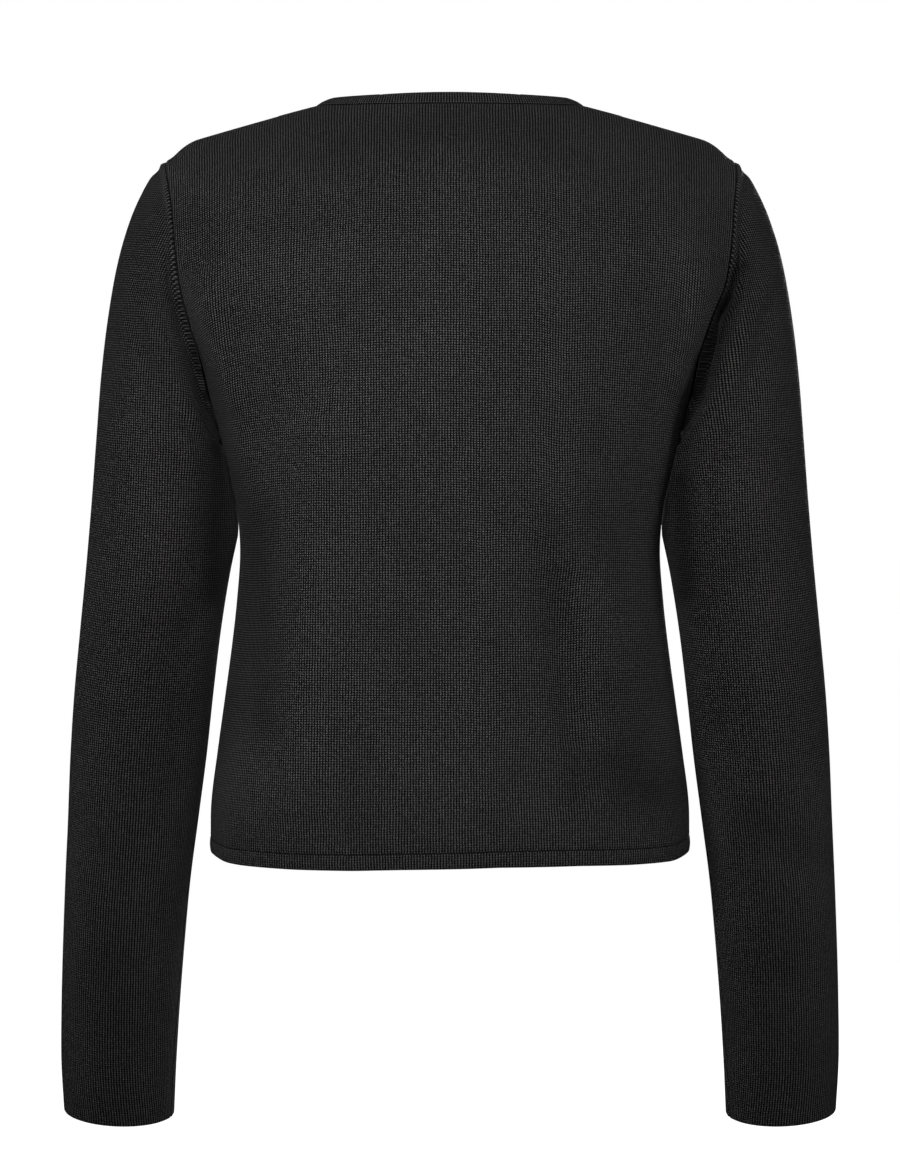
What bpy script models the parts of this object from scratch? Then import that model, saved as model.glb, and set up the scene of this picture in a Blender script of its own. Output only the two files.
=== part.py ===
"""Short knitted sweater jacket, filled out as if worn, with nobody in it.

The jacket hangs from its shoulders. The origin lies midway between the two neck
points of the shoulders, +Z is up, +Y is the way the wearer faces and +X is the
wearer's right. Every piece of cloth is a thin wall: a grid of points worked out
from the section tables below, with its inner skin one cloth thickness inside.
All sizes are in millimetres and are turned into metres when a piece is made.
"""
import math

import bmesh
import bpy
import numpy as np

# ---------------------------------------------------------------- sizes (mm)
CLOTH = 2.0            # thickness of the double knit
BAND_CLOTH = 2.6       # thickness of the tubular bands
BAND_RAISE = 0.3       # how far a band stands out over the panel beside it
SEAM_GAP = 0.3         # daylight between two pieces at a seam
NECK_HALF = 86.0       # neck point of the shoulder, from the middle
SHOULDER_HALF = 186.5  # shoulder point
SHOULDER_DROP = 32.5   # how far the shoulder point lies below the neck point
SHOULDER_FALL = 0.29   # fall of the shoulder line for each mm outwards
SHOULDER_TIP = 24.0    # the last stretch of the shoulder line, which falls more
NECK_ROUND = 40.0      # rounds the shoulder line off across the neck
NECK_DROP_BACK = 8.0
NECK_DROP_FRONT = 88.0
UNDERARM = -205.0      # height of the underarm point
HEM_SEAM = -473.0      # where the hem band is sewn on
HEM = -482.6
FRONT_BAND = 9.0       # width of the bands down the front edges
NECK_BAND = 9.0        # width of the band round the neck
SLEEVE_CLEAR = 1.2     # daylight between a sleeve and the side of the body
SLEEVE_LEAVES = 5.0    # the daylight grows over this much on both sides of it
CUFF_PITCH = math.radians(5.5)  # the lower sleeve swings forward by this

# Body, level by level: half width, depth of the back and of the front, and
# how square the section is (1 is an ellipse, less is squarer).
BODY_SECTIONS = np.array((
    # height, half width, back, front, roundness
    (-482.0, 153.8, 116.0, 112.0, 0.66),
    (-450.0, 153.8, 115.0, 111.0, 0.69),
    (-417.0, 150.0, 111.5, 109.5, 0.74),
    (-385.0, 145.8, 107.5, 107.0, 0.78),
    (-352.0, 141.5, 103.0, 104.5, 0.81),
    (-320.0, 138.0, 99.5, 103.0, 0.83),
    (-285.0, 136.0, 98.0, 103.5, 0.85),
    (-259.0, 138.3, 99.5, 106.5, 0.87),
    (-240.0, 142.3, 101.5, 109.3, 0.89),
    (-222.0, 146.8, 104.0, 112.2, 0.91),
    (-205.0, 151.0, 106.0, 114.3, 0.93),
    (-190.0, 157.0, 107.5, 115.5, 0.95),
    (-165.0, 170.0, 109.0, 116.0, 0.98),
    (-144.0, 183.0, 109.5, 116.0, 1.00),
    (-120.0, 195.5, 109.3, 115.5, 1.00),
    (-100.0, 204.0, 108.8, 115.0, 1.00),
    (-60.0, 215.0, 107.5, 114.0, 1.00),
    (0.0, 224.0, 106.0, 113.0, 1.00),
    (30.0, 226.0, 106.0, 113.0, 1.00),
))

# Armhole seams, as seen from the back and from the front.
ARMHOLE = np.array((
    # height, x on the back at the left, at the right, x on the front
    (-205.0, 151.0, 151.0, 151.0),
    (-190.0, 153.6, 152.8, 152.8),
    (-165.0, 158.8, 157.4, 156.8),
    (-144.0, 165.0, 164.0, 160.5),
    (-120.0, 170.5, 173.8, 164.0),
    (-100.0, 173.0, 177.3, 167.0),
    (-63.0, 177.5, 181.0, 175.0),
    (-45.0, 182.0, 184.0, 181.0),
    (-32.5, 186.5, 186.5, 186.5),
))

# How the body rounds over the shoulder: a radius, and how suddenly it turns.
SHOULDER_ROUNDING = {
    # side: at the middle, at the neck point, at the shoulder point
    "back": np.array(((150.0, 2.25), (150.0, 2.1), (110.0, 2.0))),
    "front": np.array(((250.0, 1.04), (220.0, 1.17), (110.0, 2.0))),
}

# Sleeve, ring by ring: the outer edge and the inner edge as seen from the
# back, then the ring's middle from back to front and its half depth.
SLEEVE_RINGS = np.array((
    # outer x, outer z, inner x, inner z, middle y, half depth
    (186.5, -32.5, 149.5, -205.0, 0.0, 54.0),
    (196.0, -49.0, 149.0, -211.0, -1.0, 55.0),
    (206.5, -72.0, 146.5, -217.0, -2.0, 55.5),
    (215.0, -101.0, 142.5, -223.5, -2.5, 55.5),
    (221.2, -136.0, 138.5, -231.0, -3.0, 54.5),
    (225.6, -174.0, 135.5, -241.0, -4.0, 53.0),
    (228.6, -214.0, 134.0, -255.0, -5.0, 51.0),
    (231.6, -256.0, 137.2, -276.0, -6.0, 49.0),
    (235.0, -297.0, 143.0, -304.0, -6.5, 47.5),
    (239.0, -338.0, 148.7, -340.0, -6.0, 46.5),
    (243.2, -380.0, 153.6, -380.0, -4.0, 45.5),
    (246.2, -420.0, 158.2, -420.5, -0.5, 44.5),
    (248.4, -460.0, 163.8, -461.0, 3.5, 43.0),
    (250.8, -500.0, 169.5, -501.5, 8.0, 41.5),
    (253.0, -540.0, 173.8, -542.5, 13.0, 40.0),
    (254.8, -580.0, 177.4, -583.0, 18.0, 38.5),
    (255.8, -620.0, 180.4, -624.0, 23.0, 37.0),
    (254.6, -655.0, 182.4, -659.5, 27.5, 35.5),
))
ELBOW_START = 8.0      # the ring from which the sleeve starts to swing forward
ELBOW_END = 13.0       # and the ring by which it swings forward in full
ARMHOLE_SETTLES = 5.0  # by this ring the armhole's egg shape is a plain oval
RING_LENGTH = 37.0     # sleeve length from ring to ring
GIRTH_PER_DEGREE = 0.8  # sleeve girth in one degree
NECKBAND_FOOT = 0.3    # the neckband starts this far up from its seam
NECKBAND_TURN_BACK = math.radians(15)   # how the neckband turns up from the cloth
NECKBAND_TURN_FRONT = math.radians(6)   # it is sewn to, at the back and at the front
TURN_SPREAD = 5        # columns over which one turn changes into the other
NECK_SHARE = 0.43      # the neck's share of the columns' spread low on the body

# The largest folds. On the body both ends are given as seen from the back;
# rise is how far the cloth stands out (+) or sinks in (-).
BODY_FOLDS = (
    # side, x1, z1, x2, z2, half width, rise
    ("back", -73.0, -205.0, -100.0, -445.0, 17.0, 3.0),
    ("back", -114.0, -215.0, -124.0, -355.0, 13.0, -2.5),
    ("back", 48.0, -310.0, 58.0, -465.0, 17.0, -3.0),
    ("back", 84.0, -300.0, 92.0, -360.0, 18.0, 2.0),
    ("back", 30.0, -283.0, 112.0, -286.0, 9.0, -1.3),
    ("front", -62.0, -235.0, -88.0, -450.0, 17.0, 2.6),
    ("front", 56.0, -300.0, 70.0, -455.0, 17.0, -2.6),
)
# On a sleeve the ends are given as the angle from its outer edge round by the
# back (degrees) and the ring number.
SLEEVE_FOLDS = (
    # side, angle 1, ring 1, angle 2, ring 2, half width, rise
    ("left", 60.0, 3.6, 118.0, 4.6, 10.0, -2.6),
    ("left", 132.0, 5.6, 128.0, 11.5, 12.0, -2.4),
    ("left", 35.0, 12.2, 95.0, 12.8, 12.0, -1.6),
    ("right", 58.0, 3.4, 128.0, 6.4, 12.0, -3.6),
    ("right", 84.0, 10.0, 96.0, 11.6, 16.0, 1.8),
    ("right", 40.0, 12.8, 110.0, 12.2, 12.0, -1.8),
)

# ------------------------------------------------------------- grid densities
BODY_ROWS = 11         # rows from the hem seam up to the underarm
ARMHOLE_ROWS = 14      # rows from the underarm to the shoulder seam
NECK_COLUMNS = 7       # columns from the middle to the neck point
SHOULDER_COLUMNS = 8   # columns from the neck point to the armhole
SLEEVE_SPANS = 27      # spans of cloth along a sleeve
FRONT_BAND_SPANS = 24  # spans of cloth down a front band

SLOPE_STEP = 0.3       # the slope of the cloth is taken over this distance
ON_LINE = 0.01         # a point this close to a line lies on it

MM = 0.001
PANEL_ROUGHNESS = 0.85
BAND_ROUGHNESS = 0.8
PANEL_COLOR = (0.016, 0.016, 0.017)
SLEEVE_COLOR = (0.014, 0.014, 0.015)
BAND_COLOR = (0.013, 0.013, 0.014)
SLEEVE_TABLE = np.column_stack((np.arange(len(SLEEVE_RINGS)), SLEEVE_RINGS))


# ------------------------------------------------------------------ materials
def knit_material(name, color, roughness):
    """A matt, dark knitted cloth."""
    material = bpy.data.materials.new(name)
    material.use_nodes = True
    surface = material.node_tree.nodes["Principled BSDF"]
    surface.inputs["Base Color"].default_value = (*color, 1.0)
    surface.inputs["Roughness"].default_value = roughness
    surface.inputs["Metallic"].default_value = 0.0
    return material


# ------------------------------------------------------------------ formulas
def smooth_row(table, key):
    """The table's row at a key between its rows, on a smooth curve."""
    keys = table[:, 0]
    key = min(max(key, keys[0]), keys[-1])
    slopes = np.gradient(table[:, 1:], keys, axis=0)
    low = min(int(np.searchsorted(keys, key, side="right")) - 1, len(keys) - 2)
    span = keys[low + 1] - keys[low]
    t = (key - keys[low]) / span
    ahead = t * t * (3.0 - 2.0 * t)
    leave = t * (1.0 - t) ** 2
    arrive = t * t * (t - 1.0)
    straight = (1.0 - ahead) * table[low, 1:] + ahead * table[low + 1, 1:]
    return straight + span * (leave * slopes[low] + arrive * slopes[low + 1])


def smooth_step(value, start, end):
    """0 before start, 1 after end, and a soft ramp between them."""
    t = min(max((value - start) / (end - start), 0.0), 1.0)
    return t * t * (3.0 - 2.0 * t)


def unit(vectors):
    """The same vectors, one long."""
    return vectors / np.maximum(np.linalg.norm(vectors, axis=-1, keepdims=True), 1e-9)


def fold_height(place, ends, half_width, rise):
    """How far one fold lifts the cloth at a place: full along its spine, none past its width."""
    start = np.array(ends[0])
    end = np.array(ends[1])
    along = np.dot(place - start, end - start) / np.dot(end - start, end - start)
    nearest = start + min(max(along, 0.0), 1.0) * (end - start)
    away = np.linalg.norm(place - nearest) / half_width
    return rise * math.exp(-away * away)


def shoulder_line(x):
    """Height of the line over the shoulders, also where the neck cuts it away."""
    fall = SHOULDER_FALL * (math.hypot(x, NECK_ROUND) - math.hypot(NECK_HALF, NECK_ROUND))
    straight_end = -SHOULDER_FALL * (
        math.hypot(SHOULDER_HALF, NECK_ROUND) - math.hypot(NECK_HALF, NECK_ROUND))
    tip = (SHOULDER_DROP + straight_end) * smooth_step(
        abs(x), SHOULDER_HALF - SHOULDER_TIP, SHOULDER_HALF)
    return -fall - tip


def body_depth(side, x, z):
    """How far the cloth lies behind (back) or before (front) the shoulder line."""
    half_width, back, front, roundness = smooth_row(BODY_SECTIONS, z)
    depth = back if side == "back" else front
    across = min(abs(x) / half_width, 1.0)
    round_side = math.sqrt(1.0 - across * across) ** roundness
    middle, neck_point, shoulder = SHOULDER_ROUNDING[side]
    rounding = middle + (neck_point - middle) * smooth_step(abs(x), 0.0, NECK_HALF)
    rounding = rounding + (shoulder - rounding) * smooth_step(abs(x), NECK_HALF, SHOULDER_HALF)
    radius, turn = rounding
    below = min(max((shoulder_line(x) - z) / radius, 0.0), 1.0)
    over_shoulder = (1.0 - (1.0 - below) ** 2) ** (1.0 / turn)
    folds = sum(
        fold_height(np.array((x, z)), ((x1, z1), (x2, z2)), width, rise)
        for fold_side, x1, z1, x2, z2, width, rise in BODY_FOLDS if fold_side == side)
    return (depth + folds) * round_side * over_shoulder


def body_point(side, x, z):
    """A point of the body's outer skin."""
    facing = -1.0 if side == "back" else 1.0
    return np.array((x, facing * body_depth(side, x, z), z))


def armhole_height(share):
    """Height in the armhole: share 0 is the underarm, 1 the shoulder point."""
    return UNDERARM - (SHOULDER_DROP + UNDERARM) * share


def armhole_x(side, hand, z):
    """How far out the armhole seam lies at a height; hand is -1 on the left and 1 on the right."""
    back_left, back_right, front = smooth_row(ARMHOLE, z)
    if side == "front":
        return front
    return back_left if hand < 0 else back_right


def neckline_height(side, x):
    """Height of the neckline seam."""
    drop = NECK_DROP_BACK if side == "back" else NECK_DROP_FRONT
    return -drop * math.sqrt(max(1.0 - (x / NECK_HALF) ** 2, 0.0))


def armhole_share(row):
    """Rows lie close together at the underarm and at the shoulder."""
    return (1.0 - math.cos(math.pi * row / ARMHOLE_ROWS)) / 2.0


# ---------------------------------------------------------------- body grids
def half_columns(inner):
    """From the middle out, each column's share of the width and its x at the top."""
    start = math.asin(inner / NECK_HALF)
    columns = []
    for column in range(NECK_COLUMNS + 1):
        share = column / NECK_COLUMNS
        top_x = NECK_HALF * math.sin(start + (math.pi / 2 - start) * share)
        columns.append((NECK_SHARE * share, top_x))
    for column in range(1, SHOULDER_COLUMNS + 1):
        share = column / SHOULDER_COLUMNS
        top_x = NECK_HALF + (SHOULDER_HALF - NECK_HALF) * share
        columns.append((NECK_SHARE + (1.0 - NECK_SHARE) * share, top_x))
    return columns


def panel_columns(hand, inner=0.0):
    """A panel's columns from left to right: hand -1 is the left half, 1 the right, 0 both."""
    half = half_columns(inner)
    left = [(-1.0, share, top_x) for share, top_x in reversed(half)]
    right = [(1.0, share, top_x) for share, top_x in half]
    return {-1: left, 1: right, 0: left[:-1] + right}[hand]


def panel_grid(side, columns, inner=0.0):
    """Outer points of a panel, from the hem seam up to the shoulder seam and the neckline."""
    rows = []
    for row in range(BODY_ROWS):
        z = HEM_SEAM + (UNDERARM - HEM_SEAM) * row / BODY_ROWS
        edge = smooth_row(BODY_SECTIONS, z)[0]
        xs = [hand * (inner + (edge - inner) * math.sin(share * math.pi / 2))
              for hand, share, _ in columns]
        rows.append([body_point(side, x, z) for x in xs])
    for row in range(ARMHOLE_ROWS + 1):
        lift = armhole_share(row)
        edge_z = armhole_height(lift)
        points = []
        for hand, share, top_x in columns:
            edge = armhole_x(side, hand, edge_z)
            spread = math.asin(min(edge / smooth_row(BODY_SECTIONS, edge_z)[0], 1.0))
            low_x = inner + (edge - inner) * math.sin(share * spread) / math.sin(spread)
            high_x = inner + (edge - inner) * (top_x - inner) / (SHOULDER_HALF - inner)
            x = low_x + (high_x - low_x) * lift ** 2
            top = shoulder_line(top_x) if top_x >= NECK_HALF else neckline_height(side, top_x)
            points.append(body_point(side, hand * x, UNDERARM + (top - UNDERARM) * lift))
        rows.append(points)
    return np.array(rows)


def cloth_outward(side, x, z):
    """Out of the garment at a point of the body."""
    if shoulder_line(x) - z < ON_LINE:
        return unit(np.array((math.copysign(SHOULDER_FALL, x), 0.0, 1.0)))
    inwards = -SLOPE_STEP if x > 0.0 else SLOPE_STEP
    here = body_point(side, x, z)
    across = (body_point(side, x + inwards, z) - here) / inwards
    up = here - body_point(side, x, z - SLOPE_STEP)
    return unit(np.cross(across, up)) * (1.0 if side == "back" else -1.0)


def grid_normals(grid, tube=False):
    """Unit normals of a grid of points: across it, then up it."""
    if tube:
        across = np.roll(grid, -1, axis=1) - np.roll(grid, 1, axis=1)
    else:
        across = np.gradient(grid, axis=1)
    return unit(np.cross(across, np.gradient(grid, axis=0)))


def square_to_front(vectors):
    """The vectors without their part to the back or front: a seam between back and front lies so."""
    return unit(vectors * np.array((1.0, 0.0, 1.0)))


def draw_in_row(grid, row, beside, distance=SEAM_GAP / 2):
    """Moves an end row of a grid towards the row beside it."""
    grid[row] += distance * unit(grid[beside] - grid[row])


def draw_in_column(grid, column, beside, distance=SEAM_GAP / 2):
    """Moves an end column of a grid towards the column beside it."""
    grid[:, column] += distance * unit(grid[:, beside] - grid[:, column])


# ------------------------------------------------------------------- armhole
def arm_axis(hand):
    """Square to the plane of the armhole, out of the body."""
    rise = -SHOULDER_DROP - UNDERARM
    return unit(np.array((hand * rise, 0.0, ARMHOLE[0, 1] - SHOULDER_HALF)))


def armhole_loop(hand):
    """The armhole seam, from the shoulder point by the back, the underarm and the front."""
    loop = []
    for side in ("back", "front"):
        for step in range(ARMHOLE_ROWS):
            row = ARMHOLE_ROWS - step if side == "back" else step
            z = armhole_height(armhole_share(row))
            loop.append(body_point(side, hand * armhole_x(side, hand, z), z))
    return np.array(loop)


def armhole_outward(hand):
    """Out of the garment at each point of the armhole seam, square to the arm's axis."""
    loop = armhole_loop(hand)
    along = unit(np.roll(loop, -1, axis=0) - np.roll(loop, 1, axis=0))
    return hand * unit(np.cross(along, arm_axis(hand)))


# ------------------------------------------------------------- making a piece
def cloth_wall(name, outer, inner, material, collection, tube=False):
    """A closed wall of cloth between an outer and an inner grid of points."""
    rows, columns = outer.shape[:2]
    spans = columns if tube else columns - 1
    mesh = bmesh.new()
    place = mesh.verts.layers.int.new("place")
    bmesh.ops.create_grid(mesh, x_segments=spans, y_segments=rows - 1, size=0.5)
    for vert in mesh.verts:
        column = round((vert.co.x + 0.5) * spans) % columns
        row = round((vert.co.y + 0.5) * (rows - 1))
        vert[place] = row * columns + column
        vert.co = outer[row, column] * MM
    if tube:
        bmesh.ops.remove_doubles(mesh, verts=mesh.verts[:], dist=1e-6)
    skin = bmesh.ops.extrude_face_region(mesh, geom=mesh.faces[:])
    for vert in skin["geom"]:
        if isinstance(vert, bmesh.types.BMVert):
            row, column = divmod(vert[place], columns)
            vert.co = inner[row, column] * MM
    bmesh.ops.recalc_face_normals(mesh, faces=mesh.faces[:])
    data = bpy.data.meshes.new(name)
    mesh.to_mesh(data)
    mesh.free()
    data.attributes.remove(data.attributes["place"])
    data.materials.append(material)
    data.shade_smooth()
    data.set_sharp_from_angle(angle=math.radians(40))
    piece = bpy.data.objects.new(name, data)
    collection.objects.link(piece)
    return piece


def panel(name, side, hand, inner, material, collection):
    """A body panel with every seam edge drawn in by half a gap."""
    outer = panel_grid(side, panel_columns(hand, inner), inner)
    facing = -1.0 if side == "back" else 1.0
    normals = np.array([[cloth_outward(side, x, z) for x, _, z in row] for row in outer])
    draw_in_row(outer, 0, 1)
    draw_in_row(outer, -1, -2)
    foot, _, cloth_up = neckline_seam()
    for index, (column_hand, _, top_x) in enumerate(panel_columns(hand, inner)):
        if top_x < NECK_HALF - ON_LINE:
            nearest = np.argmin(np.linalg.norm(foot - outer[-1, index], axis=1))
            outer[-1, index] = foot[nearest] - cloth_up[nearest] * SEAM_GAP / 2
    for edge_hand, edge, beside in ((-1, 0, 1), (1, -1, -2)):
        if hand not in (0, edge_hand):
            draw_in_column(outer, edge, beside)
            continue
        seam = np.roll(armhole_outward(edge_hand), -ARMHOLE_ROWS, axis=0)
        if side == "back":
            seam = np.roll(seam[::-1], 1, axis=0)
        normals[:BODY_ROWS, edge] = square_to_front(normals[:BODY_ROWS, edge])
        normals[BODY_ROWS:, edge] = seam[:ARMHOLE_ROWS + 1]
        outer[BODY_ROWS:, edge] -= arm_axis(edge_hand) * SEAM_GAP / 2
        outer[:BODY_ROWS + 1, edge, 1] += facing * SEAM_GAP / 2
    cloth_wall(name, outer, outer - CLOTH * normals, material, collection)


# -------------------------------------------------------------------- sleeves
def body_side_x(y, z):
    """Half width of the body at a depth."""
    half_width, back, front, roundness = smooth_row(BODY_SECTIONS, z)
    share = min(abs(y) / (back if y < 0.0 else front), 1.0)
    return half_width * math.sqrt(1.0 - share ** (2.0 / roundness))


def sleeve_point(hand, angle, ring):
    """A point of a sleeve: angle 0 is its outer edge, then the back, the inner edge, the front."""
    outer_x, outer_z, inner_x, inner_z, middle_y, half_depth = smooth_row(SLEEVE_TABLE, ring)
    out = (1.0 + math.cos(angle)) / 2.0
    pitch = CUFF_PITCH * smooth_step(ring, ELBOW_START, ELBOW_END)
    back = half_depth * math.sin(angle)
    x = inner_x + (outer_x - inner_x) * out
    y = middle_y - back * math.cos(pitch)
    z = inner_z + (outer_z - inner_z) * out - back * math.sin(pitch)
    if z < UNDERARM:
        leaving = smooth_step(UNDERARM + 1.0 - z, -SLEEVE_LEAVES, SLEEVE_LEAVES)
        x = max(x, body_side_x(y, z) + SLEEVE_CLEAR * leaving)
    return np.array((hand * x, y, z))


def sleeve_skin(hand):
    """Outer points of a sleeve, from the armhole seam down to the cuff."""
    loop = armhole_loop(hand)
    sides = len(loop)
    angles = [math.acos(2.0 * armhole_share(ARMHOLE_ROWS - step) - 1.0)
              for step in range(ARMHOLE_ROWS + 1)]
    angles += [2.0 * math.pi - angle for angle in reversed(angles[1:-1])]
    last_ring = len(SLEEVE_RINGS) - 1
    rings = []
    for span in range(SLEEVE_SPANS + 1):
        ring = last_ring * span / SLEEVE_SPANS
        settle = 1.0 - smooth_step(ring, 0.0, ARMHOLE_SETTLES)
        points = []
        for step in range(sides):
            point = sleeve_point(hand, angles[step], ring)
            if settle > 0.0:
                point += settle * (loop[step] - sleeve_point(hand, angles[step], 0.0))
            points.append(point)
        rings.append(points)
    skin = np.array(rings)
    return skin, np.array(angles), grid_normals(skin, tube=True) * hand


def sleeve(name, hand, material, collection):
    """A set-in sleeve with its largest folds."""
    skin, angles, normals = sleeve_skin(hand)
    side = "right" if hand > 0 else "left"
    lifts = np.zeros(skin.shape[:2])
    last_ring = len(SLEEVE_RINGS) - 1
    for fold_side, angle_1, ring_1, angle_2, ring_2, width, rise in SLEEVE_FOLDS:
        if fold_side != side:
            continue
        ends = ((angle_1 * GIRTH_PER_DEGREE, ring_1 * RING_LENGTH),
                (angle_2 * GIRTH_PER_DEGREE, ring_2 * RING_LENGTH))
        for span in range(1, SLEEVE_SPANS + 1):
            ring = last_ring * span / SLEEVE_SPANS
            for step, angle in enumerate(angles):
                place = np.array((math.degrees(angle) * GIRTH_PER_DEGREE, ring * RING_LENGTH))
                lifts[span, step] += fold_height(place, ends, width, rise)
    outer = skin + lifts[..., None] * normals
    normals[0] = armhole_outward(hand)
    outer[0] += arm_axis(hand) * SEAM_GAP / 2
    cloth_wall(name, outer, outer - CLOTH * normals, material, collection, tube=True)


# ---------------------------------------------------------------------- bands
def band_edge_columns(side, z, inner):
    """Where the columns of the panels meet the hem seam, from the middle to the side seam."""
    edge = smooth_row(BODY_SECTIONS, z)[0]
    start = inner if side == "back" else FRONT_BAND + SEAM_GAP
    xs = [start + (edge - start) * math.sin(share * math.pi / 2) for share, _ in half_columns(0.0)]
    if side == "front":
        xs = [inner, FRONT_BAND / 2] + xs
    return xs


def hem_band(material, collection):
    """The band round the hem, from one front edge round the back to the other."""
    edge_x = SEAM_GAP / 2
    right = [("front", x) for x in band_edge_columns("front", HEM_SEAM, edge_x)]
    back = [("back", x) for x in band_edge_columns("back", HEM_SEAM, 0.0)]
    path = right[:-1] + back[::-1] + [("back", -x) for _, x in back[1:]]
    path += [("front", -x) for _, x in right[-2::-1]]
    rows = []
    for z in (HEM, (HEM + HEM_SEAM) / 2, HEM_SEAM - SEAM_GAP / 2):
        scale = smooth_row(BODY_SECTIONS, z)[0] / smooth_row(BODY_SECTIONS, HEM_SEAM)[0]
        rows.append([body_point(side, x * scale, z) for side, x in path])
    grid = np.array(rows)
    normals = -grid_normals(grid)
    outer = grid + BAND_RAISE * normals
    cloth_wall("hem_band", outer, outer - BAND_CLOTH * normals, material, collection)


def neck_path():
    """The neckline seam from the right front edge round the back to the left one."""
    start = FRONT_BAND + SEAM_GAP
    front = [SEAM_GAP / 2, FRONT_BAND / 2] + [x for _, x in half_columns(start)[:NECK_COLUMNS + 1]]
    back = [x for _, x in half_columns(0.0)[:NECK_COLUMNS + 1]]
    path = [("front", x) for x in front[:-1]] + [("back", x) for x in reversed(back)]
    path += [("back", -x) for x in back[1:]] + [("front", -x) for x in reversed(front[:-1])]
    return path


def neckline_seam():
    """Points of the neckline seam, which way is out of the cloth there, and which is up it."""
    path = neck_path()
    foot = np.array([body_point(side, x, neckline_height(side, x)) for side, x in path])
    cloth_out = np.array([cloth_outward(side, x, neckline_height(side, x)) for side, x in path])
    return foot, cloth_out, unit(np.cross(np.gradient(foot, axis=0), cloth_out))


def neckband(material, collection):
    """The band round the neck: it stands up from the neckline and leans in."""
    path = neck_path()
    foot, cloth_out, cloth_up = neckline_seam()
    turn = np.array([NECKBAND_TURN_BACK if side == "back" else NECKBAND_TURN_FRONT for side, _ in path])
    turn = np.pad(turn, TURN_SPREAD // 2, mode="edge")
    turn = np.convolve(turn, np.full(TURN_SPREAD, 1 / TURN_SPREAD), mode="valid")[:, None]
    direction = np.cos(turn) * cloth_up + np.sin(turn) * cloth_out
    band_out = np.cos(turn) * cloth_out - np.sin(turn) * cloth_up
    grid = np.array([foot + reach * direction for reach in (NECKBAND_FOOT, NECK_BAND / 2, NECK_BAND)])
    normals = np.array([cloth_out, band_out, band_out])
    outer = grid + BAND_RAISE * normals
    cloth_wall("neckband", outer, outer - BAND_CLOTH * normals, material, collection)


def front_band(name, hand, material, collection):
    """The band down one front edge, from the neckline to the hem band."""
    columns = (SEAM_GAP / 2, FRONT_BAND / 2, FRONT_BAND)
    rows = []
    for row in range(FRONT_BAND_SPANS + 1):
        share = row / FRONT_BAND_SPANS
        points = []
        for x in columns:
            top = neckline_height("front", x)
            points.append(body_point("front", hand * x, HEM_SEAM + (top - HEM_SEAM) * share))
        rows.append(points if hand > 0 else points[::-1])
    grid = np.array(rows)
    normals = -grid_normals(grid)
    draw_in_row(grid, 0, 1)
    draw_in_row(grid, -1, -2)
    outer = grid + BAND_RAISE * normals
    cloth_wall(name, outer, outer - BAND_CLOTH * normals, material, collection)


# ----------------------------------------------------------------- the jacket
def main():
    for leftover in list(bpy.data.objects):
        bpy.data.objects.remove(leftover, do_unlink=True)
    jacket = bpy.data.collections.new("sweater_jacket")
    bpy.context.scene.collection.children.link(jacket)
    front_edge = FRONT_BAND + SEAM_GAP
    panel("back", "back", 0, 0.0, knit_material("back_knit", PANEL_COLOR, PANEL_ROUGHNESS), jacket)
    for word, hand in (("left", -1), ("right", 1)):
        knit = knit_material(f"front_{word}_knit", PANEL_COLOR, PANEL_ROUGHNESS)
        panel(f"front_{word}", "front", hand, front_edge, knit, jacket)
        knit = knit_material(f"sleeve_{word}_knit", SLEEVE_COLOR, PANEL_ROUGHNESS)
        sleeve(f"sleeve_{word}", hand, knit, jacket)
        knit = knit_material(f"front_band_{word}_knit", BAND_COLOR, BAND_ROUGHNESS)
        front_band(f"front_band_{word}", hand, knit, jacket)
    neckband(knit_material("neckband_knit", BAND_COLOR, BAND_ROUGHNESS), jacket)
    hem_band(knit_material("hem_band_knit", BAND_COLOR, BAND_ROUGHNESS), jacket)


main()
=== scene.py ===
# %% [markdown]
# # A short knitted sweater jacket
#
# The jacket hangs as if somebody wore it, but nobody is in it. The imported model already has every
# piece of cloth as a thin, closed wall. This script gives the same pieces their looks: a finer
# surface with all its folds, rounded edges, sewn seams, and a dense double knit.
#
# We start with the imported model, and keep its size.

# %% The frame
import math

import bpy
import numpy as np
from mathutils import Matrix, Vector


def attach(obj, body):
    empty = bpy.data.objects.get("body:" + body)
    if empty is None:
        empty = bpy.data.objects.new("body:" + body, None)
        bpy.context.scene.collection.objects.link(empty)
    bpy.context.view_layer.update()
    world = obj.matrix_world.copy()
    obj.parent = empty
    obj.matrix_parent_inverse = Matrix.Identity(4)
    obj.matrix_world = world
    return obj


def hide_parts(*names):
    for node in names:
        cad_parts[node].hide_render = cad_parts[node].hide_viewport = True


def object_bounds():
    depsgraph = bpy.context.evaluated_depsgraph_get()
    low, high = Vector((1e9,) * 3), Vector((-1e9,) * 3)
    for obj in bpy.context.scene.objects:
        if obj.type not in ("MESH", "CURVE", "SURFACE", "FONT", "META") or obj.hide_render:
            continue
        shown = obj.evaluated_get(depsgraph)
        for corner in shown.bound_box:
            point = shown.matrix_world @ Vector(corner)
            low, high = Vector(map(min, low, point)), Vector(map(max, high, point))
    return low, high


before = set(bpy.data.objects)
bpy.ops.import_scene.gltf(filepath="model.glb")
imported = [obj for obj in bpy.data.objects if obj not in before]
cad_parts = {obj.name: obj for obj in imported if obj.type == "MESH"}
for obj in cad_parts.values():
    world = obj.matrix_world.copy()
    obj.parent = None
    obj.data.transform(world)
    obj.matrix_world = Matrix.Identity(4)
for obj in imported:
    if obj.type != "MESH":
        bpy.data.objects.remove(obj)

cad_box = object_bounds()
print("CAD box:", [[round(value, 4) for value in corner] for corner in cad_box])

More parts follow.
